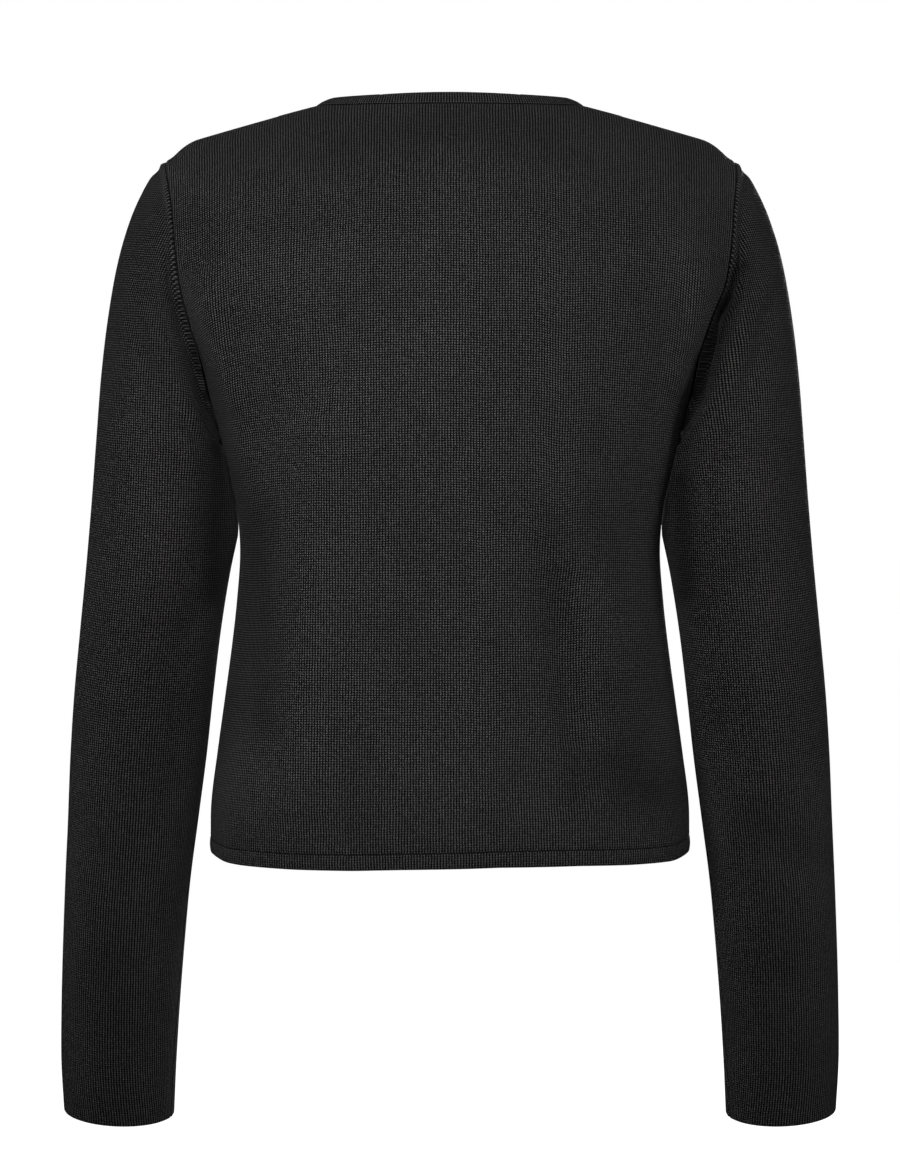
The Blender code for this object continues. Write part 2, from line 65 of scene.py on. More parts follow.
# %% [markdown]
# ## The camera
#
# The back of the jacket is seen square on, from 1.65 m away, level with the middle of the body.
# A long lens keeps the sleeves from looking larger than they are. We could also guess a camera by
# eye, but then every outline would have to be judged by eye too.

# %% The camera
CAMERA_AWAY = 1.65
CAMERA_HEIGHT = -0.312
METRES_PER_PIXEL = 0.00065
IMAGE_HEIGHT = 1176
SENSOR = 36.0

camera_data = bpy.data.cameras.new("camera")
camera_data.sensor_width = SENSOR
camera_data.lens = SENSOR * CAMERA_AWAY / (IMAGE_HEIGHT * METRES_PER_PIXEL)
camera = bpy.data.objects.new("camera", camera_data)
camera.location = (0.0, -CAMERA_AWAY, CAMERA_HEIGHT)
camera.rotation_euler = (math.radians(90), 0.0, 0.0)
bpy.context.scene.collection.objects.link(camera)
bpy.context.scene.camera = camera
print("lens:", round(camera_data.lens, 1), "mm")

# %% [markdown]
# ## The cut, in numbers
#
# A garment is easiest to describe the way a pattern cutter does: level by level. These are the
# sizes and tables that the solids were made from, in millimetres. The origin lies midway between
# the neck points of the shoulders, x runs to the right of the back and z runs up.

# %% Sizes
NECK_HALF = 86.0
SHOULDER_HALF = 186.5
SHOULDER_DROP = 32.5
SHOULDER_FALL = 0.29
SHOULDER_TIP = 24.0
NECK_ROUND = 40.0
NECK_DROP = {"back": 8.0, "front": 88.0}
UNDERARM = -205.0
HEM_SEAM = -473.0
HEM = -482.6
BAND = 9.0
CLOTH = 2.0
BAND_CLOTH = 2.6
NECK_SHARE = 0.43
SLEEVE_CLEAR = 1.2
CUFF_PITCH = math.radians(5.5)
FACING = {"back": -1.0, "front": 1.0}
print("shoulders", 2 * SHOULDER_HALF, "mm wide; hem", -HEM, "mm down")

# %% Sections of the body
BODY_SECTIONS = np.array((
    # height, half width, back, front, roundness
    (-482, 153.8, 116, 112, 0.66),
    (-450, 153.8, 115, 111, 0.69),
    (-417, 150, 111.5, 109.5, 0.74),
    (-385, 145.8, 107.5, 107, 0.78),
    (-352, 141.5, 103, 104.5, 0.81),
    (-320, 138, 99.5, 103, 0.83),
    (-285, 136, 98, 103.5, 0.85),
    (-259, 138.3, 99.5, 106.5, 0.87),
    (-240, 142.3, 101.5, 109.3, 0.89),
    (-222, 146.8, 104, 112.2, 0.91),
    (-205, 151, 106, 114.3, 0.93),
    (-190, 157, 107.5, 115.5, 0.95),
    (-165, 170, 109, 116, 0.98),
    (-144, 183, 109.5, 116, 1.00),
    (-120, 195.5, 109.3, 115.5, 1.00),
    (-100, 204, 108.8, 115, 1.00),
    (-60, 215, 107.5, 114, 1.00),
    (0, 224, 106, 113, 1.00),
    (30, 226, 106, 113, 1.00),
))
ARMHOLE = np.array((
    # height, x on the back at the left, at the right, x on the front
    (-205.0, 151.0, 151.0, 151.0),
    (-190.0, 153.6, 152.8, 152.8),
    (-165.0, 158.8, 157.4, 156.8),
    (-144.0, 165.0, 164.0, 160.5),
    (-120.0, 170.5, 173.8, 164.0),
    (-100.0, 173.0, 177.3, 167.0),
    (-63.0, 177.5, 181.0, 175.0),
    (-45.0, 182.0, 184.0, 181.0),
    (-32.5, 186.5, 186.5, 186.5),
))
SHOULDER_ROUNDING = {
    # side: radius and turn at the middle, at the neck point, at the shoulder point
    "back": np.array(((150.0, 2.25), (150.0, 2.1), (110.0, 2.0))),
    "front": np.array(((250.0, 1.04), (220.0, 1.17), (110.0, 2.0))),
}
print(len(BODY_SECTIONS), "body sections,", len(ARMHOLE), "places along an armhole")

# %% Rings of the sleeve
RINGS = np.array((
    # ring, outer x, outer z, inner x, inner z, middle y, half depth
    (0, 186.5, -32.5, 149.5, -205, 0, 54),
    (1, 196, -49, 149, -211, -1, 55),
    (2, 206.5, -72, 146.5, -217, -2, 55.5),
    (3, 215, -101, 142.5, -223.5, -2.5, 55.5),
    (4, 221.2, -136, 138.5, -231, -3, 54.5),
    (5, 225.6, -174, 135.5, -241, -4, 53),
    (6, 228.6, -214, 134, -255, -5, 51),
    (7, 231.6, -256, 137.2, -276, -6, 49),
    (8, 235, -297, 143, -304, -6.5, 47.5),
    (9, 239, -338, 148.7, -340, -6, 46.5),
    (10, 243.2, -380, 153.6, -380, -4, 45.5),
    (11, 246.2, -420, 158.2, -420.5, -0.5, 44.5),
    (12, 248.4, -460, 163.8, -461, 3.5, 43),
    (13, 250.8, -500, 169.5, -501.5, 8, 41.5),
    (14, 253, -540, 173.8, -542.5, 13, 40),
    (15, 254.8, -580, 177.4, -583, 18, 38.5),
    (16, 255.8, -620, 180.4, -624, 23, 37),
    (17, 254.6, -655, 182.4, -659.5, 27.5, 35.5),
))
RING_LENGTH = 37.0
GIRTH_PER_DEGREE = 0.8
ELBOW_START = 8.0
ELBOW_END = 13.0
ARMHOLE_SETTLES = 5.0
print(len(RINGS), "sleeve rings")

# %% [markdown]
# ## Folds
#
# Cloth that hangs from two shoulders never lies smooth. Each fold is one row: where its spine
# starts and ends, how wide it is, and how far the cloth stands out (+) or sinks in (-). We could
# let a cloth simulation find them, but it would put them anywhere. The first rows of each table
# are the large folds that the solids have too. A soft fold has the same height all along, and a
# tapered one runs out at both ends, as a crease does.
#
# Knit also gets painted light and shade in its colour. It is painted lighter where light falls fuller,
# as over the shoulder blades and on the ridges of folds, and darker where shade falls, as inside
# the armpits, where the sleeves lie against the body, and at the hem. The third table holds these
# strokes, by the places they cover.

# %% Folds of the body
BODY_FOLDS = (
    # side, x1, z1, x2, z2, half width, rise, tapered
    ("back", -73, -205, -100, -445, 17, 3.0, 0),
    ("back", -114, -215, -124, -355, 13, -2.5, 0),
    ("back", 48, -310, 58, -465, 17, -3.0, 0),
    ("back", 84, -300, 92, -360, 18, 2.0, 0),
    ("back", 30, -283, 112, -286, 9, -1.3, 0),
    ("front", -62, -235, -88, -450, 17, 2.6, 0),
    ("front", 56, -300, 70, -455, 17, -2.6, 0),
    ("back", -96, -200, -87, -452, 22, 4.5, 1),
    ("back", -127, -212, -131, -370, 11, -5.5, 1),
    ("back", -130, -290, -137, -408, 10, -5.5, 1),
    ("back", -92, -300, -104, -462, 9, 1.0, 1),
    ("back", -130, -410, -120, -460, 15, 2.5, 1),
    ("back", -88, -460, -48, -466, 9, -1.8, 1),
    ("back", 58, -282, 82, -448, 10, -5.5, 1),
    ("back", 66, -300, 77, -410, 15, -5.5, 1),
    ("back", 98, -290, 100, -352, 13, 3.0, 1),
    ("back", 124, -362, 142, -468, 18, -4.0, 1),
    ("back", 20, -398, 24, -456, 10, 3.0, 1),
    ("back", 74, -440, 130, -450, 7, 1.8, 1),
    ("back", 80, -424, 128, -417, 8, -1.8, 1),
    ("back", 150, -432, 98, -462, 9, -1.5, 1),
    ("back", 128, -258, 84, -300, 9, -1.0, 1),
    ("back", 45, -217, 104, -231, 15, -2.0, 1),
    ("back", 10, -190, 9, -279, 13, -1.8, 1),
    ("back", -68, -150, -83, -209, 10, -2.4, 1),
    ("back", -126, -196, -88, -199, 7, -2.0, 1),
    ("back", -92, -208, -78, -224, 8, 2.0, 1),
    ("back", -101, -229, -97, -250, 8, -2.0, 1),
    ("back", -100, -91, -60, -76, 12, -2.4, 1),
    ("back", -60, -120, 10, -135, 22, -1.6, 1),
    ("back", 66, -70, 121, -86, 13, 1.0, 1),
    ("back", -46, -13, 46, -12, 12, -5.0, 1),
    ("back", -158, -112, -142, -205, 11, 17.0, 1),
    ("back", -144, -180, -130, -275, 11, 16.0, 1),
    ("back", 166, -106, 149, -192, 12, 18.0, 1),
    ("back", 150, -172, 136, -280, 12, 22.0, 1),
    ("front", -128, -262, -86, -300, 9, -1.1, 1),
    ("front", 130, -258, 88, -296, 9, -1.1, 1),
    ("front", 146, -402, 112, -430, 8, 1.0, 1),
    ("front", -140, -160, -168, -104, 11, -1.5, 1),
    ("front", 140, -160, 168, -104, 11, -1.5, 1),
    ("front", -44, -330, -34, -455, 11, 1.0, 1),
)
print(len(BODY_FOLDS), "folds on the body")

# %% Folds of the sleeves
SLEEVE_FOLDS = (
    # side, angle from the outer edge by the back, ring, angle, ring, half width, rise, tapered
    ("left", 60, 3.6, 118, 4.6, 10, -2.6, 0),
    ("left", 132, 5.6, 128, 11.5, 12, -2.4, 0),
    ("left", 35, 12.2, 95, 12.8, 12, -1.6, 0),
    ("right", 58, 3.4, 128, 6.4, 12, -3.6, 0),
    ("right", 84, 10.0, 96, 11.6, 16, 1.8, 0),
    ("right", 40, 12.8, 110, 12.2, 12, -1.8, 0),
    ("left", 46, 3.0, 92, 0.8, 18, -2.6, 1),
    ("left", 90, 0.7, 134, 0.5, 16, -5.0, 0),
    ("left", 132, 0.5, 146, 3.4, 18, -4.0, 1),
    ("left", 138, 2.6, 149, 7.8, 13, -4.0, 1),
    ("left", 30, 5.0, 110, 6.2, 8, -1.0, 1),
    ("left", 100, 9.0, 40, 9.8, 10, -1.2, 1),
    ("left", 150, 8.4, 90, 10.2, 8, -1.0, 1),
    ("left", 60, 14.6, 130, 14.0, 10, -1.0, 1),
    ("right", 46, 2.8, 86, 0.8, 20, -4.0, 1),
    ("right", 74, 0.8, 104, 0.45, 18, -6.0, 0),
    ("right", 104, 0.45, 134, 0.6, 20, -8.0, 0),
    ("right", 128, 0.6, 141, 3.6, 18, -5.0, 1),
    ("right", 136, 3.0, 143, 7.6, 13, -4.0, 1),
    ("right", 98, 11.6, 132, 13.2, 12, -1.5, 1),
    ("right", 30, 5.2, 120, 6.9, 8, -1.1, 1),
    ("right", 140, 8.6, 60, 9.6, 9, -1.4, 1),
    ("right", 150, 10.4, 100, 11.4, 8, -1.1, 1),
    ("right", 50, 14.8, 130, 14.2, 10, -1.0, 1),
    ("both", 210, 8.6, 300, 9.6, 11, -2.0, 1),
    ("both", 200, 9.8, 290, 10.6, 10, -1.6, 1),
    ("both", 220, 4.2, 300, 3.4, 11, -1.6, 1),
)
print(len(SLEEVE_FOLDS), "folds on the sleeves")

# %% Strokes of painted light and shade
PAINTED_SHADING_STROKES = (
    # piece, x1, z1, x2, z2, half width, painted light (+) or painted shade (-)
    ("body", -150, -46, 150, -46, 20, -0.18),
    ("body", -60, -28, 60, -28, 18, -0.14),
    ("body", -120, -108, 130, -108, 22, 0.14),
    ("body", -110, -165, 100, -165, 30, 0.06),
    ("body", -100, -235, 40, -235, 34, 0.06),
    ("body", -148, -472, 148, -472, 10, -0.18),
    ("body", -140, -455, 140, -455, 32, -0.28),
    ("back", -166, -130, -136, -228, 8, 0.26),
    ("back", 150, -90, 150, -150, 20, 0.1),
    ("back", 166, -150, 134, -270, 8, 0.3),
    ("back", -118, -265, -116, -395, 12, -0.26),
    ("back", -80, -270, -82, -400, 12, 0.08),
    ("back", 60, -268, 76, -438, 11, -0.2),
    ("back", 96, -260, 116, -430, 24, -0.14),
    ("back", 100, -422, 140, -440, 18, -0.22),
    ("back", 96, -318, 105, -350, 14, 0.14),
    ("back", -60, -400, -55, -450, 16, -0.12),
    ("left", -174, -132, -162, -162, 5, -0.35),
    ("left", -161, -165, -147, -222, 6, -0.55),
    ("left", -147, -225, -151, -315, 9, -0.65),
    ("left", -190, -190, -190, -280, 20, 0.1),
    ("left", -232, -150, -244, -380, 9, 0.22),
    ("left", -188, -330, -200, -450, 18, -0.1),
    ("left", -210, -470, -218, -655, 42, -0.33),
    ("right", 183, -108, 175, -130, 6, -0.6),
    ("right", 171, -136, 157, -184, 8, -0.86),
    ("right", 155, -190, 147, -240, 6, -0.4),
    ("right", 147, -248, 150, -315, 8, -0.6),
    ("right", 188, -180, 192, -230, 18, 0.12),
    ("right", 190, -250, 200, -400, 20, 0.16),
    ("right", 206, -465, 218, -655, 40, -0.26),
)
print(len(PAINTED_SHADING_STROKES), "strokes of nap")

# %% What a table does at a place
# Painted light and shade scale the knit's colour within this range.
PAINTED_SHADING_RANGE = (0.12, 1.6)


def folds_at(a, b, folds):
    """How far a list of folds lifts the cloth at places (a, b)."""
    lift = np.zeros(np.broadcast(a, b).shape)
    for a1, b1, a2, b2, half_width, rise, tapered in folds:
        length = (a2 - a1) ** 2 + (b2 - b1) ** 2
        along = np.clip(((a - a1) * (a2 - a1) + (b - b1) * (b2 - b1)) / length, 0.0, 1.0)
        away = np.hypot(a - a1 - along * (a2 - a1), b - b1 - along * (b2 - b1)) / half_width
        ends = np.sqrt(np.clip(4.0 * along * (1.0 - along), 0.0, 1.0)) if tapered else 1.0
        lift += rise * ends * np.exp(-away ** 2)
    return lift


def painted_shading_at(parts, surface):
    """How much painted light or shade lies on points of a piece."""
    strokes = [stroke[1:] + (0,) for stroke in PAINTED_SHADING_STROKES if stroke[0] in parts]
    return np.clip(1.0 + folds_at(surface[..., 0], surface[..., 2], strokes), *PAINTED_SHADING_RANGE)


print("nap runs from", PAINTED_SHADING_RANGE[0], "to", PAINTED_SHADING_RANGE[1])

# %% [markdown]
# ## From tables to a surface
#
# Between two rows of a table we want a smooth curve, not a straight line, or every level would
# show as a ring round the body. A Hermite curve passes through all rows and takes its slope from
# their neighbours. All these helpers work on whole arrays of points at once, so a fine surface
# costs no more than a coarse one.


# %% Smooth tables
TINY = 1e-9


def row_at(table, key):
    """The rows of a table at any keys, on a smooth curve through its own rows."""
    keys = table[:, 0]
    key = np.clip(key, keys[0], keys[-1])
    slope = np.gradient(table[:, 1:], keys, axis=0)
    low = np.clip(np.searchsorted(keys, key, side="right") - 1, 0, len(keys) - 2)
    span = (keys[low + 1] - keys[low])[..., None]
    t = (key - keys[low])[..., None] / span
    ahead = t * t * (3.0 - 2.0 * t)
    straight = (1.0 - ahead) * table[low, 1:] + ahead * table[low + 1, 1:]
    leave = t * (1.0 - t) ** 2 * slope[low]
    arrive = t * t * (t - 1.0) * slope[low + 1]
    return np.moveaxis(straight + span * (leave + arrive), -1, 0)


def soft_step(value, start, end):
    """0 before start, 1 after end, and a soft ramp between them."""
    t = np.clip((value - start) / (end - start), 0.0, 1.0)
    return t * t * (3.0 - 2.0 * t)


def unit(vectors):
    """The same vectors, one long."""
    return vectors / np.maximum(np.linalg.norm(vectors, axis=-1, keepdims=True), TINY)


print("half width at the waist:", row_at(BODY_SECTIONS, np.array(-300.0))[0].round(1))

# %% [markdown]
# The body is then one formula. A section gives its width and its depth at a height. The depth gets
# less towards the sides and over the shoulders, and the folds are added to it.


# %% The body's surface
def shoulder_line(x):
    """Height of the line over the shoulders, also where the neck cuts it away."""
    neck = math.hypot(NECK_HALF, NECK_ROUND)
    fall = SHOULDER_FALL * (np.hypot(x, NECK_ROUND) - neck)
    straight_end = -SHOULDER_FALL * (math.hypot(SHOULDER_HALF, NECK_ROUND) - neck)
    tip = soft_step(np.abs(x), SHOULDER_HALF - SHOULDER_TIP, SHOULDER_HALF)
    return -fall - (SHOULDER_DROP + straight_end) * tip


def body_point(side, x, z):
    """Points of the body's outer skin, on the back or on the front."""
    half_width, back, front, roundness = row_at(BODY_SECTIONS, z)
    depth = back if side == "back" else front
    across = np.minimum(np.abs(x) / half_width, 1.0)
    round_side = np.sqrt(1.0 - across ** 2) ** roundness
    middle, neck_point, shoulder = SHOULDER_ROUNDING[side]
    to_neck = soft_step(np.abs(x), 0.0, NECK_HALF)[..., None]
    to_shoulder = soft_step(np.abs(x), NECK_HALF, SHOULDER_HALF)[..., None]
    rounding = middle + (neck_point - middle) * to_neck
    rounding = rounding + (shoulder - rounding) * to_shoulder
    below = np.clip((shoulder_line(x) - z) / rounding[..., 0], 0.0, 1.0)
    over_shoulder = (1.0 - (1.0 - below) ** 2) ** (1.0 / rounding[..., 1])
    lift = folds_at(x, z, [fold[1:] for fold in BODY_FOLDS if fold[0] == side])
    depth = (depth + lift) * round_side * over_shoulder
    return np.stack(np.broadcast_arrays(x, FACING[side] * depth, z), axis=-1)


def neckline_height(side, x):
    """Height of the neckline seam."""
    return -NECK_DROP[side] * np.sqrt(np.clip(1.0 - (x / NECK_HALF) ** 2, 0.0, 1.0))


def armhole_x(side, hand, z):
    """How far out the armhole seam lies; hand is -1 on the left and 1 on the right."""
    back_left, back_right, front = row_at(ARMHOLE, z)
    if side == "front":
        return front
    return np.where(hand < 0, back_left, back_right)


print("shoulder point height:", round(float(shoulder_line(np.array(SHOULDER_HALF))), 1))

# %% [markdown]
# ## A knitted piece from a grid
#
# Cloth that is cut and sewn has edges, a right side, and threads that run along it. A grid has the
# same: rows and columns. So every piece starts as Blender's own grid, whose points are then put on
# the garment's surface. We could sculpt the cloth from a tube instead, but a grid keeps the
# columns where the knitted ribs run, and that gives the knit its map: u counts across the ribs
# and v along them, both in metres. Solidify then gives the cloth its thickness.

# %% Measuring a grid
MM = 0.001
FINE = np.array((0.12, 0.27, 0.47, 0.72))


def with_fine_ends(count, start=True, end=True):
    """Even steps from 0 to 1, with finer steps next to an end where a seam is."""
    fine = FINE / count
    extra = np.concatenate((fine if start else (), 1.0 - fine if end else ()))
    return np.sort(np.concatenate((np.linspace(0.0, 1.0, count + 1), extra)))


def wrapped(grid):
    """A closed grid with one more column at both sides, so that slopes run on over its seam."""
    return np.concatenate((grid[:, -2:-1], grid, grid[:, 1:2]), axis=1)


def slopes(grid, closed=False):
    """Which way the rows and the columns of a grid run at each of its points."""
    across = np.gradient(wrapped(grid), axis=1)[:, 1:-1] if closed else np.gradient(grid, axis=1)
    return across, np.gradient(grid, axis=0)


def outward(grid, closed=False):
    """Out of the cloth, at each point of a grid."""
    return unit(np.cross(*slopes(grid, closed)))


def steps_of(grid, axis=0):
    """How far each point of a grid is from the one before it."""
    return np.linalg.norm(np.diff(grid, axis=axis), axis=-1)


def running(steps, axis=0):
    """The sum of all steps up to each point, 0 at the first."""
    first = np.zeros_like(np.take(steps, (0,), axis=axis))
    return np.concatenate((first, np.cumsum(steps, axis=axis)), axis=axis)


def rib_map(grid, middle):
    """u: the distance across the ribs from a middle column; v: the length up each column."""
    along = unit(np.gradient(grid, axis=0))
    across_ribs = np.cross(np.diff(grid, axis=1), (along[:, 1:] + along[:, :-1]) / 2)
    u = running(np.linalg.norm(across_ribs, axis=-1), axis=1)
    return u - u[:, middle:middle + 1], running(steps_of(grid))


def edge_distances(grid):
    """How far each point lies from the left, right, bottom and top edge of its grid."""
    left, bottom = running(steps_of(grid, axis=1), axis=1), running(steps_of(grid))
    right, top = left[:, -1:] - left, bottom[-1:] - bottom
    return {"left": left, "right": right, "bottom": bottom, "top": top}


print("steps of a fine-ended row:", with_fine_ends(3).round(3).tolist())

# %% [markdown]
# At a sewn edge the cloth dips into the seam and swells a little beside it, because the threads
# pull it down. The top of a sleeve also has a ridge, where its seam allowance is pressed towards it.
# At a free edge the cloth is rounded off. All are heights over the distance from the edge.


# %% Seams and free edges
SEAM_DIP = 0.75
SEAM_DIP_WIDTH = 0.9
SEAM_SWELL = 0.3
SEAM_SWELL_AT = 2.4
SEAM_SWELL_WIDTH = 1.1
QUIET_SEAM = 0.45
HEAD_RIDGE = 1.1
HEAD_RIDGE_AT = 3.6
HEAD_RIDGE_WIDTH = 2.0
HEAD_HOLLOW = 0.55
HEAD_HOLLOW_AT = 9.36
HEAD_HOLLOW_WIDTH = 3.2
HEAD_RIDGE_ENDS = (-150.0, -115.0)
EDGE_ROUND = 1.1
EDGE_STEEPNESS = 0.98


def bump(distance, height, at, width):
    """A soft bump that runs along an edge, at a distance from it."""
    return height * np.exp(-((distance - at) / width) ** 2)


def seam_relief(distance):
    """The dip into a seam and the swelling beside it."""
    swell = bump(distance, SEAM_SWELL, SEAM_SWELL_AT, SEAM_SWELL_WIDTH)
    return swell - bump(distance, SEAM_DIP, 0.0, SEAM_DIP_WIDTH)


def head_relief(distance):
    """The ridge along the top of a sleeve, where its seam allowance lies inside it."""
    ridge = bump(distance, HEAD_RIDGE, HEAD_RIDGE_AT, HEAD_RIDGE_WIDTH)
    return ridge - bump(distance, HEAD_HOLLOW, HEAD_HOLLOW_AT, HEAD_HOLLOW_WIDTH)


def edge_relief(distance):
    """The rounding of a free edge."""
    inside = np.clip(1.0 - distance / EDGE_ROUND, 0.0, 1.0)
    return EDGE_ROUND * (np.sqrt(1.0 - EDGE_STEEPNESS * inside ** 2) - 1.0)


print("seam dips by", SEAM_DIP, "mm")

# %% [markdown]
# Two small shifts come last: the shoulder points are pressed in, and the hem hangs a little uneven
# and is lifted at its two corners.

# %% Shoulder points and hem
TIP_PRESS = 3.4
TIP_INWARDS = 0.6
TIP_DOWNWARDS = 0.8
TIP_REACH = 11.0
HEM_SAG = (
    # places across the hem, and how far it sags at each of them
    (-150.0, -130.0, -95.0, -60.0, -30.0, 10.0, 30.0, 80.0, 110.0, 150.0),
    (0.6, 1.4, 1.7, 1.2, 0.2, -0.6, -1.2, -1.2, -0.4, 0.0),
)
HEM_SAG_STARTS = (400.0, 474.0)
HEM_CORNER = (138.0, 154.0)
HEM_CORNER_STARTS = (440.0, 482.0)
HEM_CORNER_LIFT = 2.6


def rounded_tips(surface):
    """The same surface with both shoulder points pressed in, as a soft seam lets them be."""
    x, z = surface[..., 0], surface[..., 2]
    away = np.hypot(x - SHOULDER_HALF * np.sign(x), z + SHOULDER_DROP) / TIP_REACH
    press = TIP_PRESS * np.exp(-away ** 2)
    inwards, downwards = np.sign(x) * press * TIP_INWARDS, press * TIP_DOWNWARDS
    return surface - np.stack((inwards, 0.0 * press, downwards), axis=-1)


def hanging(surface):
    """The same surface with its hem hanging a little uneven, as knit does."""
    x, below = surface[..., 0], -surface[..., 2]
    sag = np.interp(x, *HEM_SAG) * soft_step(below, *HEM_SAG_STARTS)
    corner = soft_step(np.abs(x), *HEM_CORNER) * soft_step(below, *HEM_CORNER_STARTS)
    lift = HEM_CORNER_LIFT * corner - sag
    return surface + np.stack((0.0 * lift, 0.0 * lift, lift), axis=-1)


print("hem sags by", max(HEM_SAG[1]), "mm at most; shoulder points pressed by", TIP_PRESS, "mm")

# %% [markdown]
# A grid becomes a piece in three steps: its points are put in place, its map and two values for the
# knit are written on it, and if it goes round something its first and last columns are joined.

# %% Making the piece
CREASE = math.radians(50)
JOINED_WITHIN = 1e-6


def select_only(piece):
    """Only this piece is selected, so an operator acts on nothing else."""
    bpy.ops.object.select_all(action="DESELECT")
    piece.select_set(True)
    bpy.context.view_layer.objects.active = piece


def edit_all(piece, *steps):
    """Runs mesh operators, one after another, on all of a piece."""
    select_only(piece)
    bpy.ops.object.mode_set(mode="EDIT")
    for operator, settings in steps:
        bpy.ops.mesh.select_all(action="SELECT")
        operator(**settings)
    bpy.ops.object.mode_set(mode="OBJECT")


def smoothed(piece):
    """Shades a piece softly, but keeps its sharp edges."""
    bpy.ops.object.shade_smooth_by_angle(angle=CREASE)
    print(piece.name, len(piece.data.vertices), "points")
    return piece


def grid_piece(name, grid, u, v, seam_distance, painted_shading, closed=False):
    """A grid on the garment, with a map for the knit, how far each seam is, and its painted light and
    shade.
    """
    rows, columns = grid.shape[:2]
    bpy.ops.object.select_all(action="DESELECT")
    bpy.ops.mesh.primitive_grid_add(x_subdivisions=columns - 1, y_subdivisions=rows - 1, size=1.0)
    piece = bpy.context.object
    piece.name = name
    mesh = piece.data
    mesh.name = name
    mesh.vertices.foreach_set("co", (grid * MM).ravel())
    corners = np.empty(len(mesh.loops), dtype=np.int32)
    mesh.loops.foreach_get("vertex_index", corners)
    places = np.stack((u.ravel(), v.ravel()), axis=1)[corners] * MM
    mesh.uv_layers.active.data.foreach_set("uv", places.ravel().astype(np.float32))
    for word, values in (("seam", seam_distance * MM), ("painted_shading", painted_shading)):
        attribute = mesh.attributes.new(word, "FLOAT", "POINT")
        attribute.data.foreach_set("value", values.ravel().astype(np.float32))
    mesh.update()
    if closed:
        edit_all(piece, (bpy.ops.mesh.remove_doubles, {"threshold": JOINED_WITHIN}))
    return piece


def thicken(piece, thickness):
    """Gives the cloth its thickness, inwards from its right side."""
    select_only(piece)
    wall = piece.modifiers.new("wall", "SOLIDIFY")
    wall.thickness = thickness * MM
    wall.offset = -1.0
    bpy.ops.object.modifier_apply(modifier=wall.name)
    return smoothed(piece)


print("cloth", CLOTH, "mm thick, bands", BAND_CLOTH, "mm")

# %% [markdown]
# ## The body: back and two fronts
#
# The back is cut in one piece and each front in one. Their columns start evenly spread at the hem
# and fan out to the neck and the shoulder. Rows lie close together where the cloth turns over the
# shoulder. The front was out of sight, so it is finished plainly: two fronts that meet edge to edge.

# %% The surface of a panel
FRONT_EDGE = BAND + 0.3
BODY_ROWS = 78
ARMHOLE_ROWS = 90
PANEL_COLUMNS = 56
SPREAD_EASES = 0.6


def top_of_column(share, inner):
    """Where a column ends at the neckline or on the shoulder."""
    start = math.asin(inner / NECK_HALF)
    neck = NECK_HALF * np.sin(start + (math.pi / 2 - start) * np.minimum(share / NECK_SHARE, 1.0))
    shoulder_share = (share - NECK_SHARE) / (1.0 - NECK_SHARE)
    shoulder = NECK_HALF + (SHOULDER_HALF - NECK_HALF) * shoulder_share
    return np.where(share <= NECK_SHARE, neck, shoulder)


def panel_surface(side, columns, inner=0.0):
    """Points of a panel; columns are shares of the half width, below 0 on the left."""
    share = np.abs(columns)[None, :]
    hand = np.where(np.signbit(columns), -1.0, 1.0)[None, :]
    z = (HEM_SEAM + (UNDERARM - HEM_SEAM) * with_fine_ends(BODY_ROWS, end=False)[:-1])[:, None]
    edge = row_at(BODY_SECTIONS, z)[0]
    x = inner + (edge - inner) * np.sin(share * math.pi / 2)
    body = body_point(side, hand * x, z + 0.0 * x)
    lift = (1.0 - (1.0 - with_fine_ends(ARMHOLE_ROWS, start=False)) ** 2)[:, None]
    edge_z = UNDERARM - (SHOULDER_DROP + UNDERARM) * lift
    edge = armhole_x(side, hand, edge_z)
    spread = math.pi / 2 - SPREAD_EASES * soft_step(lift, 0.0, 1.0)
    low_x = inner + (edge - inner) * np.sin(share * spread) / np.sin(spread)
    top_x = top_of_column(share, inner)
    high_x = inner + (edge - inner) * (top_x - inner) / (SHOULDER_HALF - inner)
    x = low_x + (high_x - low_x) * lift ** 2
    top = np.where(top_x >= NECK_HALF, shoulder_line(top_x), neckline_height(side, top_x))
    return np.concatenate((body, body_point(side, hand * x, UNDERARM + (top - UNDERARM) * lift)))


print("a panel has", BODY_ROWS + ARMHOLE_ROWS, "rows")

# %% The back and the fronts
half = with_fine_ends(PANEL_COLUMNS, start=False)
edge_half = with_fine_ends(PANEL_COLUMNS)
PANELS = {
    # piece: side, columns so that it faces outwards, inner edge, column the ribs are counted from
    "back": ("back", np.concatenate((-half[::-1], half[1:])), 0.0, len(half) - 1),
    "front_left": ("front", -edge_half, FRONT_EDGE, 0),
    "front_right": ("front", edge_half[::-1], FRONT_EDGE, len(edge_half) - 1),
}
pieces = {}
for name, (side, columns, inner, middle) in PANELS.items():
    surface = panel_surface(side, columns, inner)
    u, v = rib_map(surface, middle)
    u += np.sign(u.sum()) * FRONT_EDGE if inner else 0.0
    edges = edge_distances(surface)
    sides = np.minimum(edges["left"], edges["right"])
    ends = np.minimum(edges["bottom"], edges["top"])
    relief = seam_relief(sides) + QUIET_SEAM * seam_relief(ends)
    surface = hanging(rounded_tips(surface + relief[..., None] * outward(surface)))
    distance, painted_shading = np.minimum(sides, ends / QUIET_SEAM), painted_shading_at(("body", side), surface)
    pieces[name] = thicken(grid_piece(name + "_cloth", surface, u, v, distance, painted_shading), CLOTH)

# %% [markdown]
# ## The sleeves
#
# A set-in sleeve is one piece, sewn into a tube along the underarm and into the armhole at its
# top. It hangs down and swings a little forward below the elbow. The armhole is an egg shape that
# the first rings slowly turn into a plain oval. The cuff has no band: it is only rounded off.
#
# Two small things keep light from falling through where a sleeve meets the body. Its last rows are
# tucked in under the edge of the body, and just below the underarm it is pressed against the body.

